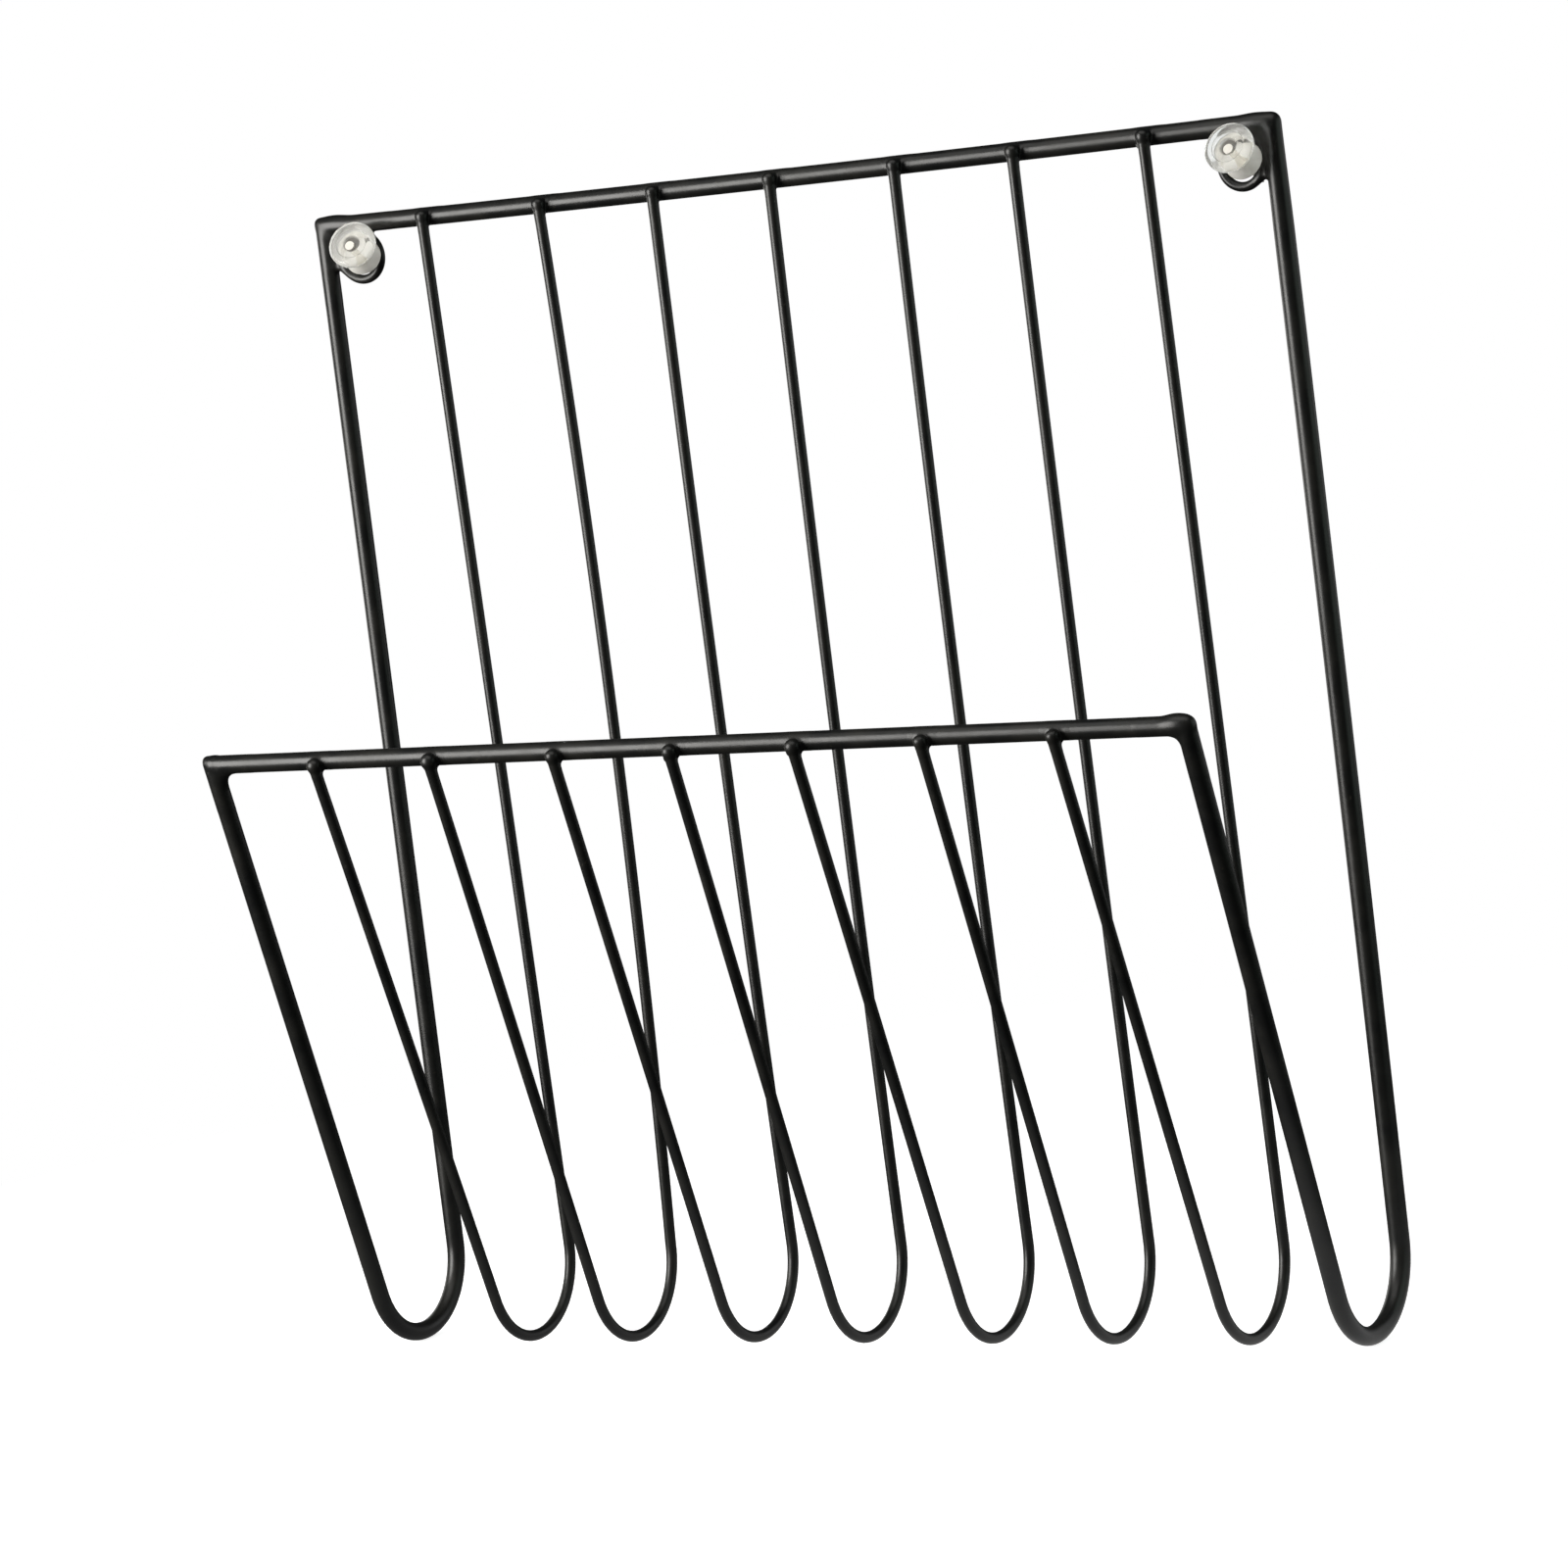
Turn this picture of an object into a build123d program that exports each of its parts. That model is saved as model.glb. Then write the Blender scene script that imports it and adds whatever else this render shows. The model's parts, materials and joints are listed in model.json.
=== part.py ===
from build123d import *
import os
from math import acos, asin, atan2, cos, degrees, hypot, radians, sin, sqrt

# A wall rack for newspapers, welded from round iron wire. Millimetres.
# X runs to the right, -Y is the front, +Z is up. The wall is the plane Y = 0, and the
# origin is on the wall, midway between the sides, level with the bottom of the bends.

# Driving sizes of the welded frame.
OVERALL_WIDTH = 340.0
OVERALL_HEIGHT = 358.0
POCKET_DEPTH = 98.0        # from the back rail's axis to the front rail's axis
FRONT_RAIL_Z = 197.75      # height of the front rail's axis
ROD_RADIUS = 2.85          # rails and side rods, with their black coat
WIRE_RADIUS = 1.75         # thin upright wires, with their black coat
WIRE_SHIFTS = (1.0, 1.0, 1.0, -0.5, 1.0, 1.0, 3.5)  # right of each wire's even place
BEND_RADIUS = 23.0         # of a wire's axis, at the bottom of the pocket

# Driving sizes of the welds and the eyelets.
WELD_SINK = 0.3            # how far a welded wire is set down into its rail
BEAD_RADIUS = 2.4
RAIL_END_ROUND = 1.8
FILLET_RADIUS = 4.5        # hollow of a corner weld
WEB_THICKNESS = 2.0
EYELET_WIRE_RADIUS = 1.4

# The top corners were finished by hand, so they differ. An inset is measured from the
# side rod's axis towards the middle, and a drop from the back rail's axis down.
LEFT_RING_RADIUS = 7.1     # of the ring's axis
LEFT_RING_INSET = 13.6     # to the ring's centre
LEFT_WEB_DROP = 12.8       # to where the weld web leaves the side rod
LEFT_PIN_INSET = 15.2      # to where the pin's axis crosses the ring's plane
LEFT_PIN_DROP = 14.1
LEFT_PIN_LEAN = 14.0       # degrees that the head points to the right
RIGHT_RING_RADIUS = 6.4
RIGHT_RING_INSET = 11.2
RIGHT_WEB_DROP = 15.5
RIGHT_PIN_INSET = 8.3
RIGHT_PIN_DROP = 12.3
RIGHT_PIN_LEAN = 0.0

# Driving sizes of the two push pins, which are alike.
PIN_TILT = 29.0            # degrees that the head points above level
PIN_GAP = 4.7              # along the axis, from the ring's plane to the knob
NAIL_RADIUS = 0.8
NAIL_LENGTH = 11.5         # straight part that stands out of the knob
NAIL_POINT = 1.5
NAIL_ROOT_RADIUS = 1.2     # thicker part held in the knob
NAIL_HEAD_RADIUS = 1.5
NAIL_HEAD_HEIGHT = 0.8
COLLAR_RADIUS = 5.2
COLLAR_HEIGHT = 3.0
NECK_RADIUS = 4.6
RIM_RADIUS = 7.6
RIM_HEIGHT = 3.4
KNOB_LENGTH = 11.7
RECESS_RADIUS = 2.6
RECESS_DEPTH = 1.6

# Sizes that follow from the driving ones.
SIDE_X = OVERALL_WIDTH / 2 - ROD_RADIUS
TOP_Z = OVERALL_HEIGHT - ROD_RADIUS
BACK_Y = -ROD_RADIUS
FRONT_Y = BACK_Y - POCKET_DEPTH
WIRE_OFFSET = ROD_RADIUS + WIRE_RADIUS - WELD_SINK
WIRE_PITCH = 2 * SIDE_X / (len(WIRE_SHIFTS) + 1)
WIRE_PLACES = [
    number * WIRE_PITCH - SIDE_X + shift for number, shift in enumerate(WIRE_SHIFTS, start=1)
]
WIRE_TIP = WIRE_RADIUS     # a wire ends this far past its rail's axis


def front_leg(offset):
    """The bend's centre, the turn of the bend in degrees and the front leg's unit
    direction, for a wire whose axis passes this far in front of both rails' axes."""
    centre = (BACK_Y - offset - BEND_RADIUS, ROD_RADIUS + BEND_RADIUS)
    reach = (FRONT_Y - centre[0], FRONT_RAIL_Z - centre[1])
    normal = atan2(reach[1], reach[0]) + acos((BEND_RADIUS - offset) / hypot(*reach))
    turn = 360 - degrees(normal)
    up = (sin(normal), -cos(normal))
    return centre, turn, up


def bent_wire(x, radius, offset, past_rail):
    """A wire bent to the pocket's profile, from the back rail down, round the bend and
    up to the front rail, ending past_rail beyond each rail's axis."""
    centre, turn, up = front_leg(offset)
    back_y = BACK_Y - offset
    top = TOP_Z + past_rail
    tip = (
        FRONT_Y - up[1] * offset + up[0] * past_rail,
        FRONT_RAIL_Z + up[0] * offset + up[1] * past_rail,
    )
    with BuildPart() as wire:
        with BuildLine(Plane.YZ.offset(x)):
            back = Line((back_y, top), (back_y, centre[1]))
            bend = CenterArc(centre, BEND_RADIUS, 0, -turn)
            Line(bend @ 1, tip)
        with BuildSketch(Plane.XY.offset(top)):
            with Locations((x, back_y)):
                Circle(radius)
        sweep()
    return wire.part


# The two rails lie level from side to side, with softened ends.
with BuildPart() as back_rail:
    with Locations((0, BACK_Y, TOP_Z)):
        Cylinder(ROD_RADIUS, OVERALL_WIDTH, rotation=(0, 90, 0))
    fillet(back_rail.edges().filter_by(GeomType.CIRCLE), RAIL_END_ROUND)

with BuildPart() as front_rail:
    with Locations((0, FRONT_Y, FRONT_RAIL_Z)):
        Cylinder(ROD_RADIUS, OVERALL_WIDTH, rotation=(0, 90, 0))
    fillet(front_rail.edges().filter_by(GeomType.CIRCLE), RAIL_END_ROUND)

# The two side rods are coped to fit against the underside of both rails.
COPE_TRIM = 1.0            # a side rod stops this far short of the rail's axis
with BuildPart() as left_side_rod:
    add(bent_wire(-SIDE_X, ROD_RADIUS, 0, -COPE_TRIM))
    add(back_rail.part, mode=Mode.SUBTRACT)
    add(front_rail.part, mode=Mode.SUBTRACT)

with BuildPart() as right_side_rod:
    add(left_side_rod.part.mirror(Plane.YZ))

# The thin wires lie against the fronts of both rails. They were laid by hand, so each
# one is a little off its even place.
TIP_ROUND = 1.1
wires = []
for x in WIRE_PLACES:
    with BuildPart() as wire:
        add(bent_wire(x, WIRE_RADIUS, WIRE_OFFSET, WIRE_TIP))
        ends = wire.edges().filter_by(GeomType.CIRCLE)
        fillet([ends.sort_by(Axis.Z)[-1], ends.sort_by(Axis.Y)[0]], TIP_ROUND)
        add(back_rail.part, mode=Mode.SUBTRACT)
        add(front_rail.part, mode=Mode.SUBTRACT)
    wires.append(wire.part)

# Each wire has a small round weld bead behind it on each rail.
BEAD_BACK = 1.6            # reach of a bead from the rail's front line, into the rail
BEAD_FRONT = 0.7           # and out of it, around the wire
LEG_UP = front_leg(WIRE_OFFSET)[2]
OUTWARD = (0, -LEG_UP[1], LEG_UP[0])
back_bead_plane = Plane(origin=(0, BACK_Y - ROD_RADIUS, TOP_Z), x_dir=(1, 0, 0), z_dir=(0, -1, 0))
front_bead_plane = Plane(
    origin=(0, FRONT_Y + ROD_RADIUS * OUTWARD[1], FRONT_RAIL_Z + ROD_RADIUS * OUTWARD[2]),
    x_dir=(1, 0, 0),
    z_dir=OUTWARD,
)


def wire_welds(plane, rail):
    """One bead for each wire on a rail, fitted round both."""
    with BuildPart() as beads:
        with BuildSketch(plane.offset(-BEAD_BACK)):
            with Locations([(x, 0) for x in WIRE_PLACES]):
                Circle(BEAD_RADIUS)
        extrude(amount=BEAD_BACK + BEAD_FRONT)
        add(rail, mode=Mode.SUBTRACT)
        for wire in wires:
            add(wire, mode=Mode.SUBTRACT)
    return beads.part


with BuildPart() as back_wire_welds:
    add(wire_welds(back_bead_plane, back_rail.part))

with BuildPart() as front_wire_welds:
    add(wire_welds(front_bead_plane, front_rail.part))

# A small ring in each top corner takes the pin. It is set down into the back rail.


def ring_drop(ring_radius):
    """How far a ring's centre hangs below the back rail's axis."""
    return ROD_RADIUS + ring_radius + EYELET_WIRE_RADIUS - WELD_SINK


def eyelet(side, inset, ring_radius):
    """The ring on the side of the rack that is -1 for left and 1 for right."""
    with BuildPart() as ring:
        with Locations((side * (SIDE_X - inset), BACK_Y, TOP_Z - ring_drop(ring_radius))):
            Torus(ring_radius, EYELET_WIRE_RADIUS, rotation=(90, 0, 0))
        add(back_rail.part, mode=Mode.SUBTRACT)
    return ring.part


def eyelet_weld(side, inset, ring_radius, web_drop, ring, side_rod):
    """A web that fills the corner between the rail, the side rod and the ring, and
    leaves the side rod in a straight line that meets the lower part of the ring."""
    drop = ring_drop(ring_radius)
    touched = ring_radius + EYELET_WIRE_RADIUS / 2
    run = (inset - ROD_RADIUS, drop - web_drop)
    slope = atan2(run[1], run[0]) + asin(touched / hypot(*run))
    length = sqrt(hypot(*run) ** 2 - touched**2)
    outline = (
        (inset, 0),
        (0, 0),
        (0, web_drop),
        (ROD_RADIUS, web_drop),
        (ROD_RADIUS + length * cos(slope), web_drop + length * sin(slope)),
        (inset, drop),
    )
    with BuildPart() as web:
        with BuildSketch(Plane(origin=(0, BACK_Y, 0), x_dir=(1, 0, 0), z_dir=(0, -1, 0))):
            with BuildLine():
                Polyline(*[(side * (SIDE_X - u), TOP_Z - v) for u, v in outline], close=True)
            make_face()
            with Locations((side * (SIDE_X - inset), TOP_Z - drop)):
                Circle(ring_radius, mode=Mode.SUBTRACT)
        extrude(amount=WEB_THICKNESS / 2, both=True)
        add(back_rail.part, mode=Mode.SUBTRACT)
        add(side_rod, mode=Mode.SUBTRACT)
        add(ring, mode=Mode.SUBTRACT)
    return web.part


with BuildPart() as left_eyelet:
    add(eyelet(-1, LEFT_RING_INSET, LEFT_RING_RADIUS))

with BuildPart() as right_eyelet:
    add(eyelet(1, RIGHT_RING_INSET, RIGHT_RING_RADIUS))

with BuildPart() as left_eyelet_weld:
    add(
        eyelet_weld(
            -1, LEFT_RING_INSET, LEFT_RING_RADIUS, LEFT_WEB_DROP, left_eyelet.part, left_side_rod.part
        )
    )

with BuildPart() as right_eyelet_weld:
    add(
        eyelet_weld(
            1, RIGHT_RING_INSET, RIGHT_RING_RADIUS, RIGHT_WEB_DROP, right_eyelet.part, right_side_rod.part
        )
    )

# A hollow fillet of weld sits inside each front corner, in the plane of the front leg.
SIDE_UP = front_leg(0)[2]
FILLET_CLEAR = 0.4         # keeps the fillet's thin ends proud of the rods
FILLET_REACH = ROD_RADIUS + FILLET_RADIUS
corner_plane = Plane(
    origin=(SIDE_X, FRONT_Y, FRONT_RAIL_Z),
    x_dir=(-1, 0, 0),
    z_dir=(0, -SIDE_UP[1], SIDE_UP[0]),
)
with BuildPart() as right_front_weld:
    with BuildSketch(corner_plane):
        Rectangle(FILLET_REACH, FILLET_REACH, align=(Align.MIN, Align.MIN))
        with Locations((FILLET_REACH + FILLET_CLEAR, FILLET_REACH + FILLET_CLEAR)):
            Circle(FILLET_RADIUS, mode=Mode.SUBTRACT)
    extrude(amount=WEB_THICKNESS / 2, both=True)
    add(front_rail.part, mode=Mode.SUBTRACT)
    add(right_side_rod.part, mode=Mode.SUBTRACT)

with BuildPart() as left_front_weld:
    add(right_front_weld.part.mirror(Plane.YZ))

# Each pin is turned about its own axis, which points up and out of the wall. Its half
# profile is drawn with the distance from that axis across and the distance in front of
# the collar's back face up.
NAIL_TOP = KNOB_LENGTH - RECESS_DEPTH
RIM_BACK = KNOB_LENGTH - RIM_HEIGHT
RIM_ROUND = 1.4
COLLAR_ROUND = 0.8


def pin_plane(side, inset, drop, lean):
    """The plane of a pin's half profile, with its origin on the collar's back face."""
    tilt = radians(PIN_TILT)
    turn = radians(lean)
    across = Vector(cos(turn), sin(turn), 0)
    axis = Vector(sin(turn) * cos(tilt), -cos(turn) * cos(tilt), sin(tilt))
    crossing = Vector(side * (SIDE_X - inset), BACK_Y, TOP_Z - drop)
    return Plane(origin=crossing + axis * PIN_GAP, x_dir=across, z_dir=across.cross(axis))


LEFT_PIN_PLANE = pin_plane(-1, LEFT_PIN_INSET, LEFT_PIN_DROP, LEFT_PIN_LEAN)
RIGHT_PIN_PLANE = pin_plane(1, RIGHT_PIN_INSET, RIGHT_PIN_DROP, RIGHT_PIN_LEAN)


def pin_nail(plane):
    """A steel nail: point, straight shank, thicker root and small upset head."""
    with BuildPart() as nail:
        with BuildSketch(plane):
            with BuildLine():
                Polyline(
                    (0, -NAIL_LENGTH - NAIL_POINT),
                    (NAIL_RADIUS, -NAIL_LENGTH),
                    (NAIL_RADIUS, 0),
                    (NAIL_ROOT_RADIUS, 0),
                    (NAIL_ROOT_RADIUS, NAIL_TOP),
                    (NAIL_HEAD_RADIUS, NAIL_TOP),
                    (NAIL_HEAD_RADIUS, NAIL_TOP + NAIL_HEAD_HEIGHT),
                    (0, NAIL_TOP + NAIL_HEAD_HEIGHT),
                    close=True,
                )
            make_face()
        revolve(axis=Axis(plane.origin, plane.y_dir))
    return nail.part


def pin_knob(plane, nail):
    """A clear knob: collar, hollow neck and wide rim with a recess round the nail head."""
    with BuildPart() as knob:
        with BuildSketch(plane):
            with BuildLine():
                Polyline((0, 0), (COLLAR_RADIUS, 0), (COLLAR_RADIUS, COLLAR_HEIGHT))
                ThreePointArc(
                    (COLLAR_RADIUS, COLLAR_HEIGHT),
                    (NECK_RADIUS, (COLLAR_HEIGHT + RIM_BACK) / 2),
                    (COLLAR_RADIUS, RIM_BACK),
                )
                Polyline(
                    (COLLAR_RADIUS, RIM_BACK),
                    (RIM_RADIUS, RIM_BACK),
                    (RIM_RADIUS, KNOB_LENGTH),
                    (RECESS_RADIUS, KNOB_LENGTH),
                    (RECESS_RADIUS, NAIL_TOP),
                    (0, NAIL_TOP),
                    (0, 0),
                )
            make_face()
        revolve(axis=Axis(plane.origin, plane.y_dir))
        circles = knob.edges().filter_by(GeomType.CIRCLE)
        rim_edges = circles.filter_by(lambda edge: abs(edge.radius - RIM_RADIUS) < 0.01)
        fillet(rim_edges, RIM_ROUND)
        collar_edges = circles.filter_by(lambda edge: abs(edge.radius - COLLAR_RADIUS) < 0.01)
        fillet(collar_edges.sort_by(Axis.Y)[-1], COLLAR_ROUND)
        add(nail, mode=Mode.SUBTRACT)
    return knob.part


with BuildPart() as left_pin_nail:
    add(pin_nail(LEFT_PIN_PLANE))

with BuildPart() as right_pin_nail:
    add(pin_nail(RIGHT_PIN_PLANE))

with BuildPart() as left_pin_knob:
    add(pin_knob(LEFT_PIN_PLANE, left_pin_nail.part))

with BuildPart() as right_pin_knob:
    add(pin_knob(RIGHT_PIN_PLANE, right_pin_nail.part))

# Every piece is labelled and written to its own file.
os.makedirs("parts", exist_ok=True)

back_rail.part.label = "back_rail"
export_step(back_rail.part, "parts/back_rail.step")
front_rail.part.label = "front_rail"
export_step(front_rail.part, "parts/front_rail.step")
left_side_rod.part.label = "left_side_rod"
export_step(left_side_rod.part, "parts/left_side_rod.step")
right_side_rod.part.label = "right_side_rod"
export_step(right_side_rod.part, "parts/right_side_rod.step")
for number, wire_part in enumerate(wires, start=1):
    wire_part.label = f"wire_{number}"
    export_step(wire_part, f"parts/wire_{number}.step")
back_wire_welds.part.label = "back_wire_welds"
export_step(back_wire_welds.part, "parts/back_wire_welds.step")
front_wire_welds.part.label = "front_wire_welds"
export_step(front_wire_welds.part, "parts/front_wire_welds.step")
left_front_weld.part.label = "left_front_weld"
export_step(left_front_weld.part, "parts/left_front_weld.step")
right_front_weld.part.label = "right_front_weld"
export_step(right_front_weld.part, "parts/right_front_weld.step")
left_eyelet.part.label = "left_eyelet"
export_step(left_eyelet.part, "parts/left_eyelet.step")
right_eyelet.part.label = "right_eyelet"
export_step(right_eyelet.part, "parts/right_eyelet.step")
left_eyelet_weld.part.label = "left_eyelet_weld"
export_step(left_eyelet_weld.part, "parts/left_eyelet_weld.step")
right_eyelet_weld.part.label = "right_eyelet_weld"
export_step(right_eyelet_weld.part, "parts/right_eyelet_weld.step")
left_pin_knob.part.label = "left_pin_knob"
export_step(left_pin_knob.part, "parts/left_pin_knob.step")
right_pin_knob.part.label = "right_pin_knob"
export_step(right_pin_knob.part, "parts/right_pin_knob.step")
left_pin_nail.part.label = "left_pin_nail"
export_step(left_pin_nail.part, "parts/left_pin_nail.step")
right_pin_nail.part.label = "right_pin_nail"
export_step(right_pin_nail.part, "parts/right_pin_nail.step")
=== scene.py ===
import json
import math
import random

import bpy
import numpy as np
from mathutils import Matrix, Vector


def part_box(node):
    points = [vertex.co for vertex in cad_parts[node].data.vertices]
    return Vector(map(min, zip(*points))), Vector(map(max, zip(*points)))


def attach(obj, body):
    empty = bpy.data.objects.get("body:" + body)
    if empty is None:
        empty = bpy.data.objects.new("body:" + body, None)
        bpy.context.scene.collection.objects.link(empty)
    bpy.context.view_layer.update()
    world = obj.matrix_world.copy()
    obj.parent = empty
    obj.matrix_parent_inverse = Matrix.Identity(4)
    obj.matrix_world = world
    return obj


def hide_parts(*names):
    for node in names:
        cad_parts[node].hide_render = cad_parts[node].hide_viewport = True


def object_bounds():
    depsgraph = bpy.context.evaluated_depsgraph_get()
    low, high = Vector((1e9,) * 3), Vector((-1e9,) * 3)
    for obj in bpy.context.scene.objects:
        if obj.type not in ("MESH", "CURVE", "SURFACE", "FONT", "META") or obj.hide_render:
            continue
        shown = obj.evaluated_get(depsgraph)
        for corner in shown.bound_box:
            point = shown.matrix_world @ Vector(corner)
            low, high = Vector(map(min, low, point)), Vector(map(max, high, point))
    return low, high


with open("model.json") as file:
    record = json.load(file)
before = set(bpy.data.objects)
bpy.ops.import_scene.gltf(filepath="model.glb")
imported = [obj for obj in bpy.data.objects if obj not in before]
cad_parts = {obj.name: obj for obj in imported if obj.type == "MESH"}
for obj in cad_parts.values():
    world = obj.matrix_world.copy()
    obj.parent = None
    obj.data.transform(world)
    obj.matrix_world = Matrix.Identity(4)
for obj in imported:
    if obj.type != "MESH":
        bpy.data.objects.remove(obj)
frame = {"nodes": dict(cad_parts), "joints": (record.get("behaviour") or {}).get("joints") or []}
cad_low, cad_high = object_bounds()

MM = 0.001

# ---------------------------------------------------------------------------------------
# Places and sizes, read from the frame
# ---------------------------------------------------------------------------------------


def middle(node):
    """The centre of a CAD node's box."""
    low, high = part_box(node)
    return (low + high) / 2


def joint_axis(name):
    """The unit direction in which a pin pulls out."""
    for joint in frame["joints"]:
        if joint["name"] == name:
            return Vector(joint["axis"]).normalized()


back_rail = middle("back_rail")
front_rail = middle("front_rail")
rail_low, rail_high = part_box("back_rail")
rod_radius = (rail_high.z - rail_low.z) / 2
half_width = rail_high.x
side_x = middle("right_side_rod").x
wire_low, wire_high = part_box("wire_1")
wire_radius = (wire_high.x - wire_low.x) / 2
wire_nodes = [f"wire_{number}" for number in range(1, 8)]
wire_places = [middle(node).x for node in wire_nodes]
wire_back_y = wire_high.y - wire_radius

BEND_RADIUS = 23 * MM
BEND_STEPS = 64
LEG_STEP = 3 * MM
RAIL_END_ROUND = 1.8 * MM
SIDE_END_ROUND = 0.5 * MM
WIRE_END_ROUND = 1.1 * MM
COPE_TRIM = 1 * MM       # a side rod stops this far short of the rail's axis
END_POINTS = 8           # a rod's direction at its end is taken over this many points
LOW_Z = rod_radius + BEND_RADIUS

# The rack was bent and welded by hand, so no line on it is quite true. Each rail's
# height strays by this much at its left end, middle and right end.
RAIL_STRAY = {"back": (-0.5, -0.3, 1.2), "front": (1.6, 0.0, -1.6)}

# Each bent rod strays to the right by this much at the back rail, half way down its back
# leg, at the bend and at the front rail.
ROD_STRAY = {
    "left_side_rod": (0.9, -0.1, -1.3, 1.0),
    "wire_1": (-2.0, 0.3, 2.4, -1.4),
    "wire_2": (-0.5, 2.5, -1.3, -1.5),
    "wire_3": (-0.8, -0.6, 1.4, 0.6),
    "wire_4": (0.7, -0.3, 0.3, 0.9),
    "wire_5": (0.6, 0.2, 1.6, -0.6),
    "wire_6": (-0.8, -0.3, 1.3, -0.1),
    "wire_7": (-1.6, 0.3, 2.1, -1.6),
    "right_side_rod": (-0.2, 0.2, -0.2, 0.3),
}


def through(low, half, high, share):
    """A smooth curve that is low at share 0, half at share 0.5 and high at share 1."""
    bow = 4 * half - 2 * (low + high)
    return low + (high - low) * share + bow * share * (1 - share)


def rail_point(rail_name, x):
    """The point on a rail's axis at x."""
    rail = back_rail if rail_name == "back" else front_rail
    rise = through(*RAIL_STRAY[rail_name], (x + half_width) / (2 * half_width))
    return Vector((x, rail.y, rail.z + rise * MM))


def front_leg_up(back_y):
    """The unit direction up the front leg of a wire whose back leg stands at back_y."""
    offset = back_rail.y - back_y
    reach = Vector((front_rail.y - (back_y - BEND_RADIUS), front_rail.z - LOW_Z))
    turn = math.atan2(reach.y, reach.x) + math.acos((BEND_RADIUS - offset) / reach.length)
    return Vector((0, math.sin(turn), -math.cos(turn)))


def outward_of(up):
    """The direction in which a wire lies off a rail, for a leg that points up."""
    return Vector((0, -up.z, up.y))


def straight(start, end):
    """Evenly spaced points from start up to but not including end."""
    count = max(2, round((end - start).length / LEG_STEP))
    return [start.lerp(end, step / count) for step in range(count)]


def pocket_path(node, x, back_y, past_rail):
    """The axis of a bent rod from the back rail down, round and up to the front rail. Its
    ends run past the rails' axes by past_rail."""
    up = front_leg_up(back_y)
    centre = Vector((0, back_y - BEND_RADIUS, LOW_Z))
    sweep = math.pi - math.atan2(-up.y, up.z)
    bend = []
    for step in range(BEND_STEPS + 1):
        angle = -sweep * step / BEND_STEPS
        bend.append(centre + BEND_RADIUS * Vector((0, math.cos(angle), math.sin(angle))))
    top_stray, half_stray, bend_stray, front_stray = (x + stray * MM for stray in ROD_STRAY[node])
    top = rail_point("back", top_stray) + Vector((0, back_y - back_rail.y, past_rail))
    tip = rail_point("front", front_stray) + outward_of(up) * (back_rail.y - back_y)
    tip = tip + up * past_rail
    back = straight(Vector((0, top.y, top.z)), bend[0])
    front = straight(bend[-1], Vector((0, tip.y, tip.z))) + [Vector((0, tip.y, tip.z))]
    path = []
    for step, point in enumerate(back):
        stray = through(top_stray, half_stray, bend_stray, step / len(back))
        path.append(point + Vector((stray, 0, 0)))
    for point in bend[:-1]:
        path.append(point + Vector((bend_stray, 0, 0)))
    for step, point in enumerate(front):
        stray = bend_stray + (front_stray - bend_stray) * step / (len(front) - 1)
        path.append(point + Vector((stray, 0, 0)))
    return path


paths = {
    "left_side_rod": pocket_path("left_side_rod", -side_x, back_rail.y, -COPE_TRIM),
    "right_side_rod": pocket_path("right_side_rod", side_x, back_rail.y, -COPE_TRIM),
}
for node, place in zip(wire_nodes, wire_places):
    paths[node] = pocket_path(node, place, wire_back_y, wire_radius)


def rod_end(node, rail_name):
    """A bent rod's tip at a rail, and its unit direction there, pointing to the tip."""
    path = paths[node] if rail_name == "back" else paths[node][::-1]
    return path[0], (path[0] - path[END_POINTS]).normalized()


# ---------------------------------------------------------------------------------------
# Node materials
# ---------------------------------------------------------------------------------------


class Nodes:
    """A short way to write a node tree."""

    def __init__(self, tree):
        self.tree = tree
        tree.nodes.clear()

    def feed(self, node, name, value):
        """Links a socket to a node's input, or sets the input to a plain value."""
        if isinstance(value, bpy.types.NodeSocket):
            self.tree.links.new(value, node.inputs[name])
        else:
            node.inputs[name].default_value = value

    def add(self, kind, inputs=None, **settings):
        """A new node with its inputs fed and its settings made."""
        node = self.tree.nodes.new(kind)
        for name, value in settings.items():
            setattr(node, name, value)
        for name, value in (inputs or {}).items():
            self.feed(node, name, value)
        return node

    def noise(self, scale, detail=3.0, roughness=0.5):
        """A noise value over the object, with scale in features per metre."""
        place = self.add("ShaderNodeTexCoord")
        noise = self.add(
            "ShaderNodeTexNoise",
            {"Vector": place.outputs["Object"], "Scale": scale, "Detail": detail, "Roughness": roughness},
        )
        return noise.outputs["Fac"]

    def spread(self, value, low, high, to_low, to_high):
        """Maps value from low..high to to_low..to_high, held at both ends."""
        node = self.add(
            "ShaderNodeMapRange",
            {"Value": value, "From Min": low, "From Max": high, "To Min": to_low, "To Max": to_high},
        )
        return node.outputs["Result"]

    def mix(self, factor, one, two):
        """The colour one at factor 0 and two at factor 1."""
        node = self.add("ShaderNodeMix", {"Factor": factor}, data_type="RGBA")
        for index, value in ((6, one), (7, two)):
            self.feed(node, index, (*value, 1) if isinstance(value, tuple) else value)
        return node.outputs[2]

    def maths(self, operation, one, two):
        """The sum, product or other result of two values."""
        return self.add("ShaderNodeMath", {0: one, 1: two}, operation=operation).outputs[0]

    def mix_shaders(self, factor, one, two):
        """The surface one at factor 0 and two at factor 1."""
        return self.add("ShaderNodeMixShader", {"Fac": factor, 1: one, 2: two}).outputs[0]


def new_material(name):
    """A material and its empty node tree."""
    material = bpy.data.materials.new(name)
    material.use_nodes = True
    return material, Nodes(material.node_tree)


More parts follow.
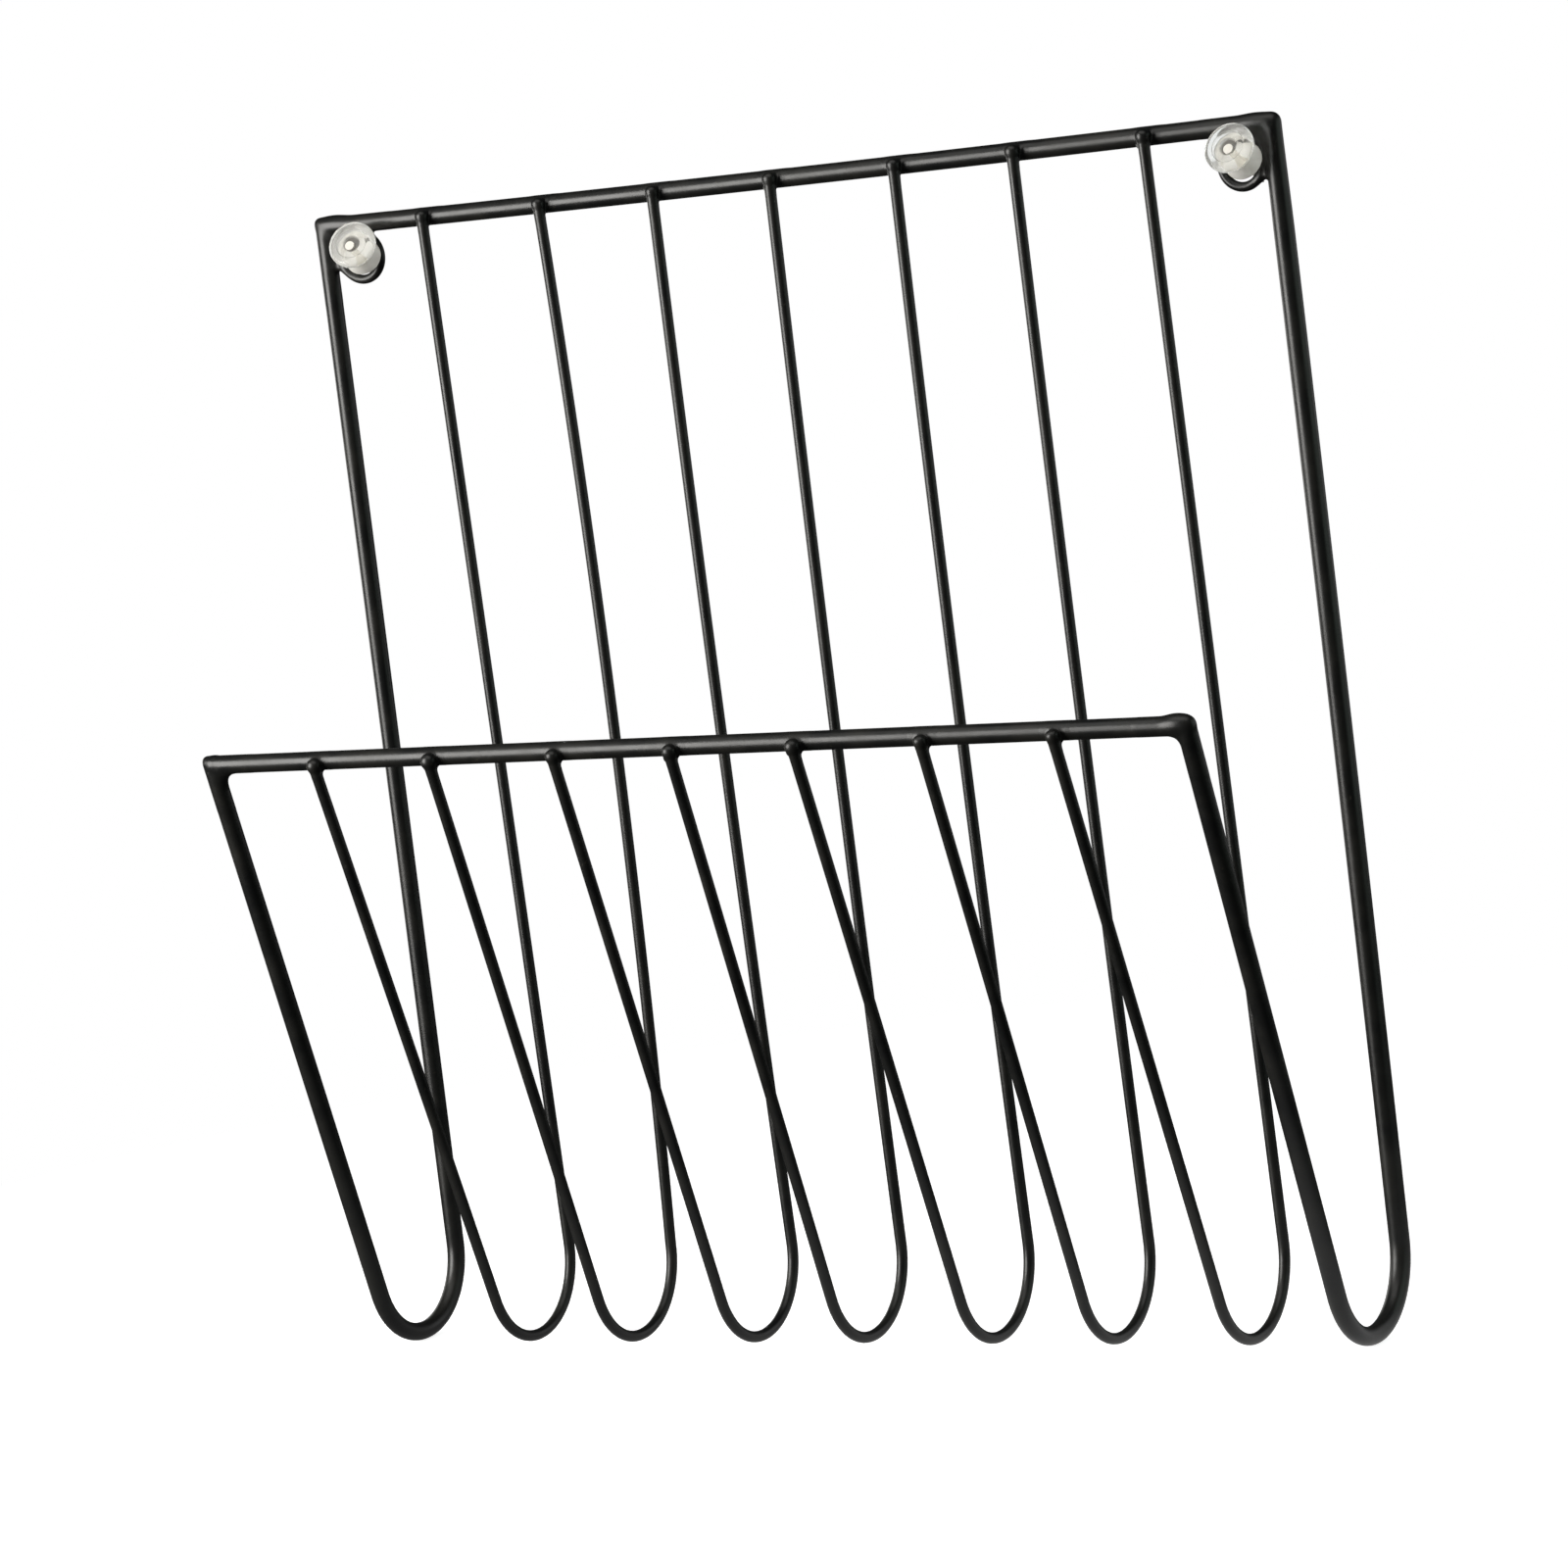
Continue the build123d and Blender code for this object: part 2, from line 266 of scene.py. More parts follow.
def black_coat():
    """Satin black paint on iron: soft mottling, fine scuffs, a few worn warm specks."""
    material, nodes = new_material("black_coat")
    deep_black = (0.006, 0.0065, 0.0065)
    warm_black = (0.016, 0.0155, 0.013)
    worn_brown = (0.09, 0.08, 0.06)
    mottle = nodes.noise(70.0, 4.0, 0.6)
    grain = nodes.noise(900.0, 4.0, 0.6)
    specks = nodes.noise(420.0, 5.0, 0.65)
    wear = nodes.spread(specks, 0.66, 0.74, 0.0, 1.0)
    paint = nodes.mix(nodes.spread(mottle, 0.35, 0.7, 0.0, 1.0), deep_black, warm_black)
    colour = nodes.mix(nodes.maths("MULTIPLY", wear, 0.35), paint, worn_brown)
    roughness = nodes.spread(mottle, 0.3, 0.7, 0.30, 0.42)
    ripple = nodes.noise(160.0, 2.0, 0.5)
    height = nodes.maths("ADD", nodes.maths("MULTIPLY", grain, 0.06), ripple)
    bump = nodes.add("ShaderNodeBump", {"Height": height, "Strength": 0.3, "Distance": 0.00012})
    surface = nodes.add(
        "ShaderNodeBsdfPrincipled",
        {"Base Color": colour, "Roughness": roughness, "Normal": bump.outputs["Normal"], "IOR": 1.5},
    )
    nodes.add("ShaderNodeOutputMaterial", {"Surface": surface.outputs["BSDF"]})
    return material


def clear_plastic():
    """Clear moulded plastic with flow marks. A point's milk attribute makes it cloudy, and the
    cloudy part glows faintly with painted light; a second attribute paints shade round the nail."""
    material, nodes = new_material("clear_plastic")
    clear_tint = (0.85, 0.875, 0.88)
    # painted shade round the nail's head: it stands in for the shadowed recess and the dark nail shank
    # seen through the plastic
    clear_painted_shade = (0.10, 0.10, 0.10)
    dull_milk = (0.66, 0.645, 0.61)
    pale_milk = (0.80, 0.79, 0.75)
    # painted shade for the cloudy plastic round the nail's head
    milk_painted_shade = (0.10, 0.085, 0.075)
    # painted light: a faint glow of the cloudy plastic, standing in for light scattered inside it
    milk_painted_glow = (0.90, 0.86, 0.78)
    no_glow = (0.0, 0.0, 0.0)
    flow_marks = nodes.noise(300.0, 2.0, 0.5)
    milk_share = nodes.add("ShaderNodeAttribute", attribute_name="milk").outputs["Fac"]
    # where the painted shade lies round the nail's head
    painted_shade = nodes.add("ShaderNodeAttribute", attribute_name="painted_shade").outputs["Fac"]
    bump = nodes.add("ShaderNodeBump", {"Height": flow_marks, "Strength": 0.04, "Distance": 0.0001})
    clear = nodes.add(
        "ShaderNodeBsdfPrincipled",
        {
            "Base Color": nodes.mix(painted_shade, clear_tint, clear_painted_shade),
            "Roughness": nodes.spread(flow_marks, 0.3, 0.7, 0.14, 0.22),
            "IOR": 1.24,
            "Transmission Weight": 1.0,
            "Normal": bump.outputs["Normal"],
        },
    )
    milk = nodes.mix(flow_marks, dull_milk, pale_milk)
    cloudy = nodes.add(
        "ShaderNodeBsdfPrincipled",
        {
            "Base Color": nodes.mix(painted_shade, milk, milk_painted_shade),
            "Roughness": 0.2,
            "IOR": 1.47,
            # the painted glow, switched off where the painted shade lies
            "Emission Color": nodes.mix(painted_shade, milk_painted_glow, no_glow),
            "Emission Strength": 0.19,
        },
    )
    both = nodes.mix_shaders(milk_share, clear.outputs["BSDF"], cloudy.outputs["BSDF"])
    nodes.add("ShaderNodeOutputMaterial", {"Surface": both})
    return material


def nail_steel():
    """Bright drawn steel with fine drawing marks."""
    material, nodes = new_material("nail_steel")
    marks = nodes.noise(2500.0, 2.0, 0.5)
    bump = nodes.add("ShaderNodeBump", {"Height": marks, "Strength": 0.2, "Distance": 0.00005})
    surface = nodes.add(
        "ShaderNodeBsdfPrincipled",
        {
            "Base Color": (0.90, 0.87, 0.80, 1),
            "Metallic": 0.55,
            "Roughness": nodes.spread(marks, 0.3, 0.7, 0.34, 0.5),
            "Normal": bump.outputs["Normal"],
        },
    )
    nodes.add("ShaderNodeOutputMaterial", {"Surface": surface.outputs["BSDF"]})
    return material


coat = black_coat()
plastic = clear_plastic()
steel = nail_steel()

# ---------------------------------------------------------------------------------------
# Pieces of the visual model
# ---------------------------------------------------------------------------------------


def add_mesh(name, points, faces):
    """A smooth mesh object in the scene."""
    mesh = bpy.data.meshes.new(name)
    mesh.from_pydata(points, [], faces)
    mesh.validate()
    mesh.shade_smooth()
    piece = bpy.data.objects.new(name, mesh)
    bpy.context.scene.collection.objects.link(piece)
    return piece


def fit(piece, material, slot, body, *replaced):
    """Puts a finished piece on its body in place of the CAD nodes that it replaces."""
    piece.data.materials.append(material)
    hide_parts(*replaced)
    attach(piece, body)


def paint_node(node, material):
    """Gives a CAD node its material."""
    mesh = frame["nodes"][node].data
    mesh.materials.clear()
    mesh.materials.append(material)


# ---------------------------------------------------------------------------------------
# Solid shapes as distance functions, for weld metal that flows between rods
# ---------------------------------------------------------------------------------------


def rod(start, end, radius, end_round):
    """A straight round rod with rounded end edges."""
    start = np.array(start)
    run = np.array(end) - start
    length = np.linalg.norm(run)
    run = run / length

    def distance(points):
        away = points - start
        along = away @ run
        across = np.linalg.norm(away - along[..., None] * run, axis=-1)
        side = across - (radius - end_round)
        cap = np.abs(along - length / 2) - (length / 2 - end_round)
        outside = np.hypot(np.maximum(side, 0), np.maximum(cap, 0))
        return outside + np.minimum(np.maximum(side, cap), 0) - end_round

    return distance


def ring(centre, ring_radius, radius):
    """A round ring that lies in a plane across Y."""
    centre = np.array(centre)

    def distance(points):
        away = points - centre
        flat = np.hypot(away[..., 0], away[..., 2]) - ring_radius
        return np.hypot(flat, away[..., 1]) - radius

    return distance


def ball(centre, radii):
    """A lump of weld, as a ball squashed to three radii."""
    centre = np.array(centre)
    radii = np.array(radii)

    def distance(points):
        scaled = np.linalg.norm((points - centre) / radii, axis=-1)
        return (scaled - 1) * radii.min()

    return distance


def web(outline, y, thickness, edge_round):
    """A flat web across Y with the given outline of (x, z) corners and rounded edges."""
    corners = np.array(outline)

    def distance(points):
        flat = points[..., [0, 2]]
        nearest = np.full(flat.shape[:-1], np.inf)
        inside = np.zeros(flat.shape[:-1], bool)
        for one, two in zip(corners, np.roll(corners, -1, axis=0)):
            edge = two - one
            away = flat - one
            share = np.clip(away @ edge / (edge @ edge), 0, 1)
            nearest = np.minimum(nearest, np.linalg.norm(away - share[..., None] * edge, axis=-1))
            crosses = (one[1] > flat[..., 1]) != (two[1] > flat[..., 1])
            rise = two[1] - one[1] if two[1] != one[1] else 1.0
            inside ^= crosses & (flat[..., 0] < edge[0] * (flat[..., 1] - one[1]) / rise + one[0])
        side = np.where(inside, -nearest, nearest) + edge_round
        face = np.abs(points[..., 1] - y) - (thickness / 2 - edge_round)
        outside = np.hypot(np.maximum(side, 0), np.maximum(face, 0))
        return outside + np.minimum(np.maximum(side, face), 0) - edge_round

    return distance


SHARP = 0.001 * MM       # a join softened by less than this counts as sharp


def blended(one, two, softness):
    """The smooth union of two distances, with a hollow fillet where both are near."""
    softness = np.maximum(softness, SHARP)
    near = np.maximum(softness - np.abs(one - two), 0) / softness
    return np.minimum(one, two) - near * near * softness / 4


def flow(shapes, softness):
    """Joins shapes with a hollow fillet of about the given softness where they meet."""

    def distance(points):
        joined = shapes[0](points)
        for shape in shapes[1:]:
            joined = blended(joined, shape(points), softness)
        return joined

    return distance


def elbow(corner, inward, down, radius, inside, outside):
    """Two round rods of one radius that run from a corner, one inward and one down, with
    their mitre softened by the lengths inside and outside."""
    corner = np.array(corner)
    inward = np.array(inward)
    down = np.array(down)
    normal = np.cross(inward, down)
    normal = normal / np.linalg.norm(normal)
    across_rail = np.cross(normal, inward)
    across_rod = np.cross(down, normal)

    def distance(points):
        away = points - corner
        one = away @ across_rod
        two = away @ across_rail
        share = np.clip((one + two) / (2 * radius) + 0.5, 0, 1)
        nearest = blended(one, two, outside + (inside - outside) * share)
        return np.hypot(nearest, away @ normal) - radius

    return distance


SETTLE_ROUNDS = 4        # how often a skin's points are moved towards the true surface
LEAST_SLOPE = 0.25       # keeps that move small where the distance is nearly level


def skin(name, distance, low, high, step):
    """The closed surface of a distance function inside a box, as quads near its zero level
    that are then drawn exactly onto it."""
    low = np.array(low)
    high = np.array(high)
    counts = np.maximum(np.ceil((high - low) / step).astype(int), 4) + 3
    axes = [low[axis] - step + step * np.arange(counts[axis]) for axis in range(3)]
    grid = np.stack(np.meshgrid(*axes, indexing="ij"), axis=-1)

    def clipped(points):
        wall = np.maximum(low - points, points - high).max(axis=-1)
        return np.maximum(distance(points), wall)

    value = clipped(grid)
    solid = value < 0
    # One vertex in every cell that the surface passes through, at its crossings' mean.
    cells = tuple(counts - 1)
    total = np.zeros((*cells, 3))
    hits = np.zeros(cells)
    cell_corners = [(i, j, k) for i in (0, 1) for j in (0, 1) for k in (0, 1)]

    def part(array, offset):
        """The array's values at one corner of every cell."""
        return array[tuple(slice(start, start + size) for start, size in zip(offset, cells))]

    for one in cell_corners:
        for axis in range(3):
            if one[axis]:
                continue
            two = tuple(place + (index == axis) for index, place in enumerate(one))
            near, far = part(value, one), part(value, two)
            crossing = (near < 0) != (far < 0)
            share = np.where(crossing, near / np.where(crossing, near - far, 1), 0)
            point = part(grid, one) + share[..., None] * (part(grid, two) - part(grid, one))
            total[crossing] += point[crossing]
            hits += crossing
    used = hits > 0
    number = np.full(cells, -1)
    number[used] = np.arange(used.sum())
    points = total[used] / hits[used][:, None]
    # One quad for every grid edge that the surface crosses.
    faces = []
    for axis in range(3):
        others = [other for other in range(3) if other != axis]
        inner = [slice(1, count - 1) for count in counts]
        inner[axis] = slice(0, counts[axis] - 1)
        ahead = list(inner)
        ahead[axis] = slice(1, counts[axis])
        here, there = solid[tuple(inner)], solid[tuple(ahead)]
        for flip, where in ((False, here & ~there), (True, ~here & there)):
            place = np.argwhere(where)
            place[:, others[0]] += 1
            place[:, others[1]] += 1
            quad = []
            for back in ((1, 1), (0, 1), (0, 0), (1, 0)):
                cell = place.copy()
                cell[:, others[0]] -= back[0]
                cell[:, others[1]] -= back[1]
                quad.append(number[cell[:, 0], cell[:, 1], cell[:, 2]])
            if flip != (axis == 1):
                quad.reverse()
            faces.append(np.stack(quad, axis=1))
    faces = np.concatenate(faces)
    nudge = step * 0.05
    for _ in range(SETTLE_ROUNDS):
        slope = np.stack(
            [
                (clipped(points + nudge * side) - clipped(points - nudge * side)) / (2 * nudge)
                for side in np.eye(3)
            ],
            axis=-1,
        )
        steepness = np.maximum((slope * slope).sum(axis=-1), LEAST_SLOPE)
        move = np.clip(clipped(points) / steepness, -step / 2, step / 2)
        points = points - move[:, None] * slope
    return add_mesh(name, points.tolist(), faces.tolist())


# ---------------------------------------------------------------------------------------
# Welds and eyelets
# ---------------------------------------------------------------------------------------

PROUD = 0.04 * MM        # how far a weld's skin stands off the bare rods
SINK = 0.06 * MM         # how far its outer ends lie below them
FADE = 4 * MM            # over which it passes from the one to the other
CORNER_GRID = 0.34 * MM
WIRE_GRID = 0.26 * MM


def weld_piece(name, shape, low, high, step, *replaced):
    """Weld metal round some rods. Towards the sides of its box its skin dives into them."""
    low = np.array(low)
    high = np.array(high)

    def distance(points):
        inside = np.minimum(points - low, high - points).min(axis=-1)
        share = np.clip(inside / FADE, 0, 1)
        return shape(points) + SINK - (SINK + PROUD) * share * share * (3 - 2 * share)

    fit(skin(name, distance, low, high, step), coat, "coated_weld", "rack", *replaced)


STRETCH = 40 * MM        # how much of a rail or wire a weld takes in
LOOK_ALONG = 30 * MM     # over which a rail's direction at its corner is taken
WEB_THICKNESS = 2.6 * MM
WEB_EDGE_ROUND = 1.1 * MM
CORNER_INSIDE = 3 * MM   # softness of the mitre inside a top corner
RING_FLOW = 1.2 * MM     # softness where the ring meets the web in its corner
ROD_FLOW = 2 * MM        # and where both meet the rods
HUMP_FLOW = 1.2 * MM     # and round the hump of weld on a corner
PAST_END = 4 * MM        # room that a corner's box leaves outside the rails' ends


def rail_shape(rail_name, x):
    """The stretch of a rail near x."""
    low = max(x - STRETCH, -half_width)
    high = min(x + STRETCH, half_width)
    return rod(rail_point(rail_name, low), rail_point(rail_name, high), rod_radius, RAIL_END_ROUND)


def corner_rods(side, node, rail_name, inside, outside):
    """A rail and the side rod that ends in it, joined as an elbow."""
    tip, up = rod_end(f"{node}_side_rod", rail_name)
    corner = tip + up * COPE_TRIM
    inward = (rail_point(rail_name, corner.x - side * LOOK_ALONG) - corner).normalized()
    return elbow(corner, inward, -up, rod_radius, inside, outside), corner


def top_corner(side, node, outside, hump, hump_place):
    """A top corner: rail, side rod and ring, with a web of weld between them and a hump."""
    ring_low, ring_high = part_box(f"{node}_eyelet")
    weld_low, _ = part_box(f"{node}_eyelet_weld")
    hoop_radius = (ring_high.y - ring_low.y) / 2
    outer = (ring_high.x - ring_low.x) / 2
    centre = Vector(((ring_low.x + ring_high.x) / 2, back_rail.y, ring_low.z + outer))
    rods, corner = corner_rods(side, node, "back", CORNER_INSIDE, outside)
    filled = web(
        [
            (centre.x, corner.z),
            (corner.x, corner.z),
            (corner.x, weld_low.z + 1 * MM),
            (corner.x - side * rod_radius, weld_low.z + 2 * MM),
            (centre.x + side * outer * 0.55, centre.z - outer * 0.70),
            (centre.x + side * outer * 0.86, centre.z),
            (centre.x + side * outer * 0.6, centre.z + outer * 0.6),
            (centre.x, centre.z + outer * 0.86),
        ],
        back_rail.y,
        WEB_THICKNESS,
        WEB_EDGE_ROUND,
    )
    hoop = ring(centre, outer - hoop_radius, hoop_radius)
    lump = ball(corner + hump_place, hump)
    shape = flow([flow([hoop, filled], RING_FLOW), rods], ROD_FLOW)
    inner = centre.x - side * (outer + 7 * MM)
    outer_x = side * (half_width + PAST_END)
    weld_piece(
        f"{node}_top_corner",
        flow([shape, lump], HUMP_FLOW),
        (min(inner, outer_x), -8 * MM, weld_low.z - 12 * MM),
        (max(inner, outer_x), 5 * MM, cad_high.z + 6 * MM),
        CORNER_GRID,
        f"{node}_eyelet",
        f"{node}_eyelet_weld",
    )


def front_corner(side, node, inside, outside, hump, hump_place):
    """A front corner: rail and side rod with a hollow fillet and a small hump."""
    rods, corner = corner_rods(side, node, "front", inside, outside)
    lump = ball(corner + hump_place, hump)
    inner = corner.x - side * 18 * MM
    outer_x = side * (half_width + PAST_END)
    weld_piece(
        f"{node}_front_corner",
        flow([rods, lump], HUMP_FLOW),
        (min(inner, outer_x), corner.y - 8 * MM, corner.z - 18 * MM),
        (max(inner, outer_x), corner.y + 12 * MM, corner.z + 9 * MM),
        CORNER_GRID,
        f"{node}_front_weld",
    )


NUB = Vector((2.2, 2.0, 2.1)) * MM
DROP = Vector((1.3, 1.3, 1.6)) * MM
SEAM = Vector((2.4, 1.1, 2.2)) * MM
WIRE_FLOW = 0.6 * MM
RAIL_FLOW = 0.7 * MM
WIRE_WELD_REACH = Vector((7.0, 6.5, 7.5)) * MM


def wire_weld(number, rail_name, chance):
    """The small weld where a thin wire lies on a rail: a nub over the wire's end, a drop
    beside it and a seam along the rail. The chance draws make each weld a little different."""
    tip, up = rod_end(f"wire_{number}", rail_name)
    outward = outward_of(up)
    touch = tip - up * wire_radius - outward * wire_radius
    wire = rod(tip - up * STRETCH, tip, wire_radius, WIRE_END_ROUND)
    size = chance.uniform(0.9, 1.15)
    nub = ball(tip - up * 1.5 * MM, NUB * size)
    drop_place = Vector((-chance.uniform(1.2, 1.8), 0, 0)) * MM - up * chance.uniform(1.0, 2.2) * MM
    drop = ball(touch + outward * 0.6 * MM + drop_place, DROP * size)
    seam = ball(touch - up * 0.8 * MM, SEAM)
    bead = flow([wire, nub, seam, drop], WIRE_FLOW)
    weld_piece(
        f"{rail_name}_weld_{number}",
        flow([rail_shape(rail_name, tip.x), bead], RAIL_FLOW),
        touch - WIRE_WELD_REACH,
        touch + WIRE_WELD_REACH,
        WIRE_GRID,
        f"{rail_name}_wire_welds",
    )


top_corner(-1, "left", 2.0 * MM, Vector((6.5, 2.6, 2.7)) * MM, Vector((4.0, 0, 0.5)) * MM)
top_corner(1, "right", 3.4 * MM, Vector((6.0, 2.6, 2.7)) * MM, Vector((-5.0, 0, 0.1)) * MM)
front_corner(-1, "left", 6.5 * MM, 1.8 * MM, Vector((2.0, 2.4, 2.4)) * MM, Vector((1.0, 0, 0)) * MM)
front_corner(1, "right", 3.8 * MM, 3.6 * MM, Vector((5.0, 2.8, 2.9)) * MM, Vector((-2.6, 0, 0.6)) * MM)
for rail_name in ("back", "front"):
    chance = random.Random(rail_name)
    for number in range(1, len(wire_nodes) + 1):
        wire_weld(number, rail_name, chance)

# ---------------------------------------------------------------------------------------
# Rods and wires
# ---------------------------------------------------------------------------------------

ROUND_SIDES = 40
CAP_STEPS = 6
RAIL_STEPS = 120
RAIL_HIDDEN = 5 * MM     # a rail's bar ends this far inside the elbow at its corner
THICK_RAMP = 30 * MM     # over which a rod's extra coat grows from nothing
EXTRA_COAT = {"left_side_rod": 0, "right_side_rod": 0.26 * MM}


def bent_rod(node, path, radius, end_round, extra=0.0):
    """A round rod along a path, with rounded ends, in place of a CAD rod. Its coat can be
    extra thick down the back leg."""
    runs = [(path[1] - path[0]).normalized()]
    for before, after in zip(path, path[2:]):
        runs.append((after - before).normalized())
    runs.append((path[-1] - path[-2]).normalized())
    across = Vector((0, 1, 0)) if abs(runs[0].x) > 0.5 else Vector((1, 0, 0))
    stations = []
    for point, run in zip(path[1:-1], runs[1:-1]):
        leaving = min((point - path[0]).length / THICK_RAMP, 1)
        behind = min(max(1 - abs(point.y) / THICK_RAMP, 0), 1)
        stations.append((point, run, radius + extra * leaving * behind))
    for step in range(CAP_STEPS + 1):
        angle = math.pi / 2 * step / CAP_STEPS
        inset = end_round * (1 - math.sin(angle))
        width = radius - end_round * (1 - math.cos(angle))
        stations.insert(0, (path[0] + runs[0] * inset, runs[0], width))
        stations.append((path[-1] - runs[-1] * inset, runs[-1], width))
    points = []
    for point, run, width in stations:
        one = (across - run * across.dot(run)).normalized() * width
        two = run.cross(one)
        for side in range(ROUND_SIDES):
            angle = 2 * math.pi * side / ROUND_SIDES
            points.append(point + one * math.cos(angle) + two * math.sin(angle))
    faces = []
    for row in range(len(stations) - 1):
        for side in range(ROUND_SIDES):
            here = row * ROUND_SIDES + side
            beside = row * ROUND_SIDES + (side + 1) % ROUND_SIDES
            faces.append((here, beside, beside + ROUND_SIDES, here + ROUND_SIDES))
    faces.append(tuple(reversed(range(ROUND_SIDES))))
    faces.append(tuple(range(len(points) - ROUND_SIDES, len(points))))
    fit(add_mesh(f"{node}_bar", points, faces), coat, "black_iron", "rack", node)


rail_reach = half_width - RAIL_HIDDEN
rail_places = [rail_reach * (2 * step / RAIL_STEPS - 1) for step in range(RAIL_STEPS + 1)]
for rail_name in ("back", "front"):
    line = [rail_point(rail_name, x) for x in rail_places]
    bent_rod(f"{rail_name}_rail", line, rod_radius, RAIL_END_ROUND)
for node, extra in EXTRA_COAT.items():
    bent_rod(node, paths[node], rod_radius, SIDE_END_ROUND, extra)
for node in wire_nodes:
    bent_rod(node, paths[node], wire_radius, WIRE_END_ROUND)

# ---------------------------------------------------------------------------------------
# Pin knobs, turned on a lathe profile
# ---------------------------------------------------------------------------------------

KNOB_TURNS = 96
ARC_STEPS = 6
ON_AXIS = 0.000001 * MM  # a profile point nearer to the axis than this lies on it
BACK_RADIUS = 5.8 * MM
COLLAR_RADIUS = 5.7 * MM
BODY_RADIUS = 5.3 * MM
RIM_RADIUS = 7.6 * MM
DISH_RADIUS = 4.7 * MM
RECESS_RADIUS = 2.4 * MM
RECESS_DEPTH = 1.6 * MM


def lathe(name, profile, origin, axis):
    """A closed turned solid. The profile runs from the axis back to the axis."""
    turn = Vector((0, 0, 1)).rotation_difference(axis).to_matrix()
    points = []
    rows = []
    for radius, along in profile:
        row = []
        steps = 1 if radius < ON_AXIS else KNOB_TURNS
        for step in range(steps):
            angle = 2 * math.pi * step / KNOB_TURNS
            row.append(len(points))
            local = Vector((radius * math.cos(angle), radius * math.sin(angle), along))
            points.append(origin + turn @ local)
        rows.append(row)
    faces = []
    for one, two in zip(rows, rows[1:]):
        for step in range(KNOB_TURNS):
            after = (step + 1) % KNOB_TURNS
            if len(one) == 1:
                faces.append((one[0], two[after], two[step]))
            elif len(two) == 1:
                faces.append((one[step], one[after], two[0]))
            else:
                faces.append((one[step], one[after], two[after], two[step]))
    return add_mesh(name, points, faces)


def rounded(outline):
    """A profile with each corner (radius, along, rounding) turned as an arc."""
    result = []
    for index, (radius, along, rounding) in enumerate(outline):
        here = Vector((radius, along))
        if rounding == 0:
            result.append(here)
            continue
        before = (Vector(outline[index - 1][:2]) - here).normalized()
        after = (Vector(outline[index + 1][:2]) - here).normalized()
        for step in range(ARC_STEPS + 1):
            share = step / ARC_STEPS
            start = here + before * rounding
            end = here + after * rounding
            result.append(start * (1 - share) ** 2 + here * 2 * share * (1 - share) + end * share**2)
    return result


def ramp(value, start, width):
    """0 up to start, 1 from width past it, and a straight rise between."""
    return min(max((value - start) / width, 0), 1)


def pin_knob(node, face_milk, body_milk):
    """A clear knob with a dished face, a thick rim and a recess round the nail's head. Its
    milk attribute says how cloudy it is, and its other attribute paints shade on the recess."""
    axis = joint_axis(f"{node}_pin_pull")
    mesh = frame["nodes"][f"{node}_pin_knob"].data
    heights = [vertex.co.dot(axis) for vertex in mesh.vertices]
    centre = middle(f"{node}_pin_knob")
    origin = centre + axis * (min(heights) - centre.dot(axis))
    length = max(heights) - min(heights)
    outline = [
        (0, 0, 0),
        (BACK_RADIUS, 0, 0.8 * MM),
        (COLLAR_RADIUS, 3.2 * MM, 0.9 * MM),
        (BODY_RADIUS, 5.2 * MM, 0.8 * MM),
        (BODY_RADIUS, length - 3.6 * MM, 0.6 * MM),
        (RIM_RADIUS, length - 3.2 * MM, 1.4 * MM),
        (RIM_RADIUS, length, 1.5 * MM),
        (BODY_RADIUS, length - 0.05 * MM, 0.5 * MM),
        (DISH_RADIUS, length - 0.45 * MM, 0.4 * MM),
        (RECESS_RADIUS + 0.3 * MM, length - 0.5 * MM, 0.4 * MM),
        (RECESS_RADIUS, length - RECESS_DEPTH + 0.1 * MM, 0.3 * MM),
        (0, length - RECESS_DEPTH, 0),
    ]
    profile = [(point.x, point.y) for point in rounded(outline)]
    piece = lathe(f"{node}_clear_knob", profile, origin, axis)
    milk = piece.data.attributes.new("milk", "FLOAT", "POINT")
    # an attribute for the painted shade round the nail's head
    painted_shade = piece.data.attributes.new("painted_shade", "FLOAT", "POINT")
    for index, vertex in enumerate(piece.data.vertices):
        away = vertex.co - origin
        along = away.dot(axis)
        radius = (away - axis * along).length
        body = ramp(length - along, 3.0 * MM, 1.5 * MM)
        rim = ramp(radius, 5.2 * MM, 1.2 * MM)
        face = face_milk * (1 + 0.5 * rim)
        milk.data[index].value = face + (body_milk - face) * body
        # painted shade on the front within about 2.9 mm of the axis: it stands in for the shadowed recess
        # and the dark nail shank seen through the plastic
        front = along > length - 2.5 * MM
        painted_shade.data[index].value = 1 - ramp(radius, 2.3 * MM, 0.6 * MM) if front else 0
    fit(piece, plastic, "clear_plastic", f"{node}_pin", f"{node}_pin_knob")
    paint_node(f"{node}_pin_nail", steel)


pin_knob("left", 0.2, 0.85)
pin_knob("right", 0.1, 0.85)

# ---------------------------------------------------------------------------------------
# Floor, light and camera
# ---------------------------------------------------------------------------------------


def seen_directly(nodes):
    """1 for what the camera sees, straight or through clear plastic."""
    path = nodes.add("ShaderNodeLightPath")
    return nodes.maths("MAXIMUM", path.outputs["Is Camera Ray"], path.outputs["Is Transmission Ray"])


WHITE = (1, 1, 1, 1)


